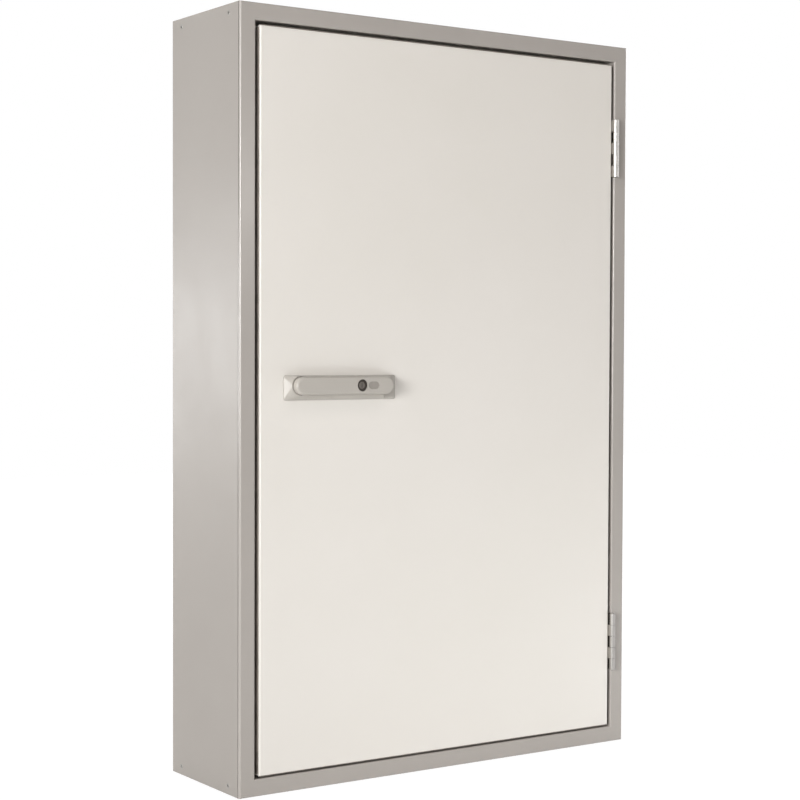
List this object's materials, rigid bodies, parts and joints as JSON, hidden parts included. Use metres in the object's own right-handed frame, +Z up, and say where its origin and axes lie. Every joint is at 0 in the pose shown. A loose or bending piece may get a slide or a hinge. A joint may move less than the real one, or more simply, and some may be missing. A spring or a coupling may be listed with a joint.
{
  "type": "fire-rated flush enclosure",
  "caption": "Tall box enclosure of fire board set flush in a wall, with an inset hinged door, swing handle, rack-and-pinion rod lock and inner mounting plate.",
  "frame": {"origin": "middle of the back face, at the centre of the four wall fixing holes", "axes": "+X to the right seen from the front, +Y back into the wall, +Z up; the door front faces -Y"},
  "size_m": [0.76, 0.2412, 1.2],
  "materials": {
    "grey_laminate": "satin",
    "grey_trim": "satin",
    "stop_board": "matte",
    "white_laminate": "satin",
    "gasket": "matte",
    "graphite_strip": "matte",
    "hinge_steel": "satin",
    "zinc_screws": "satin",
    "keeper_steel": "satin",
    "galvanised_sheet": "satin",
    "turned_steel": "satin",
    "foam": "matte",
    "handle_paint": "satin",
    "dark_metal": "satin",
    "plug_metal": "satin",
    "dark_nylon": "matte"
  },
  "bodies": {
    "carcass": {"left_side_panel": "grey_laminate", "right_side_panel": "grey_laminate", "top_panel": "grey_laminate", "bottom_panel": "grey_laminate", "back_panel": "grey_laminate", "left_trim": "grey_trim", "right_trim": "grey_trim", "top_trim": "grey_trim", "bottom_trim": "grey_trim", "left_side_screws": "zinc_screws", "right_side_screws": "zinc_screws", "left_stop": "stop_board", "right_stop": "stop_board", "top_stop": "stop_board", "bottom_stop": "stop_board", "stop_screws": "zinc_screws", "stop_gasket": "gasket", "upper_hinge_frame_leaf": "hinge_steel", "lower_hinge_frame_leaf": "hinge_steel", "hinge_pins": "hinge_steel", "hinge_frame_screws": "hinge_steel", "latch_keeper": "keeper_steel", "upper_rod_keeper": "keeper_steel", "lower_rod_keeper": "keeper_steel", "keeper_screws": "zinc_screws", "mounting_plate": "galvanised_sheet", "plate_posts": "turned_steel", "plate_screws": "zinc_screws", "wall_bushes": "turned_steel", "cable_collar": "galvanised_sheet", "cable_seal_block": "foam", "collar_screws": "zinc_screws"},
    "door": {"door_leaf": "white_laminate", "door_edge_seals": "graphite_strip", "upper_hinge_door_leaf": "hinge_steel", "lower_hinge_door_leaf": "hinge_steel", "hinge_door_screws": "hinge_steel", "handle_base": "handle_paint", "handle_pad": "gasket", "handle_screws": "zinc_screws", "gear_housing": "dark_nylon", "gear_cover": "galvanised_sheet", "gear_screws": "zinc_screws", "rod_guides": "dark_nylon", "guide_screws": "zinc_screws"},
    "spindle": {"spindle": "turned_steel", "pinion": "turned_steel", "latch_tongue": "keeper_steel", "tongue_nut": "zinc_screws"},
    "lever": {"handle_lever": "handle_paint", "lift_pin": "turned_steel", "lock_barrel": "dark_metal"},
    "plug": {"lock_plug": "plug_metal"},
    "upper_rod": {"upper_rod": "turned_steel", "upper_rack": "turned_steel"},
    "lower_rod": {"lower_rod": "turned_steel", "lower_rack": "turned_steel"}
  },
  "joints": [
    {"name": "door_swing", "type": "hinge", "parent": "carcass", "child": "door", "pos_m": [0.35175, -0.226, 0], "axis": [0, 0, 1], "range_deg": [0, 170]},
    {"name": "handle_turn", "type": "hinge", "parent": "door", "child": "spindle", "pos_m": [-0.279, -0.2, 0.024], "axis": [0, 1, 0], "range_deg": [0, 90]},
    {"name": "lever_lift", "type": "hinge", "parent": "spindle", "child": "lever", "pos_m": [-0.279, -0.2332, 0.024], "axis": [0, 0, -1], "range_deg": [0, 30]},
    {"name": "plug_turn", "type": "hinge", "parent": "lever", "child": "plug", "pos_m": [-0.174, -0.235, 0.024], "axis": [0, 1, 0], "range_deg": [0, 90]},
    {"name": "upper_rod_slide", "type": "slide", "parent": "door", "child": "upper_rod", "axis": [0, 0, 1], "range_m": [0, 0.0189]},
    {"name": "lower_rod_slide", "type": "slide", "parent": "door", "child": "lower_rod", "axis": [0, 0, -1], "range_m": [0, 0.0189]}
  ],
  "couplings": [
    {"joint": "upper_rod_slide", "follows": "handle_turn", "m_per_rad": 0.012},
    {"joint": "lower_rod_slide", "follows": "handle_turn", "m_per_rad": 0.012}
  ]
}
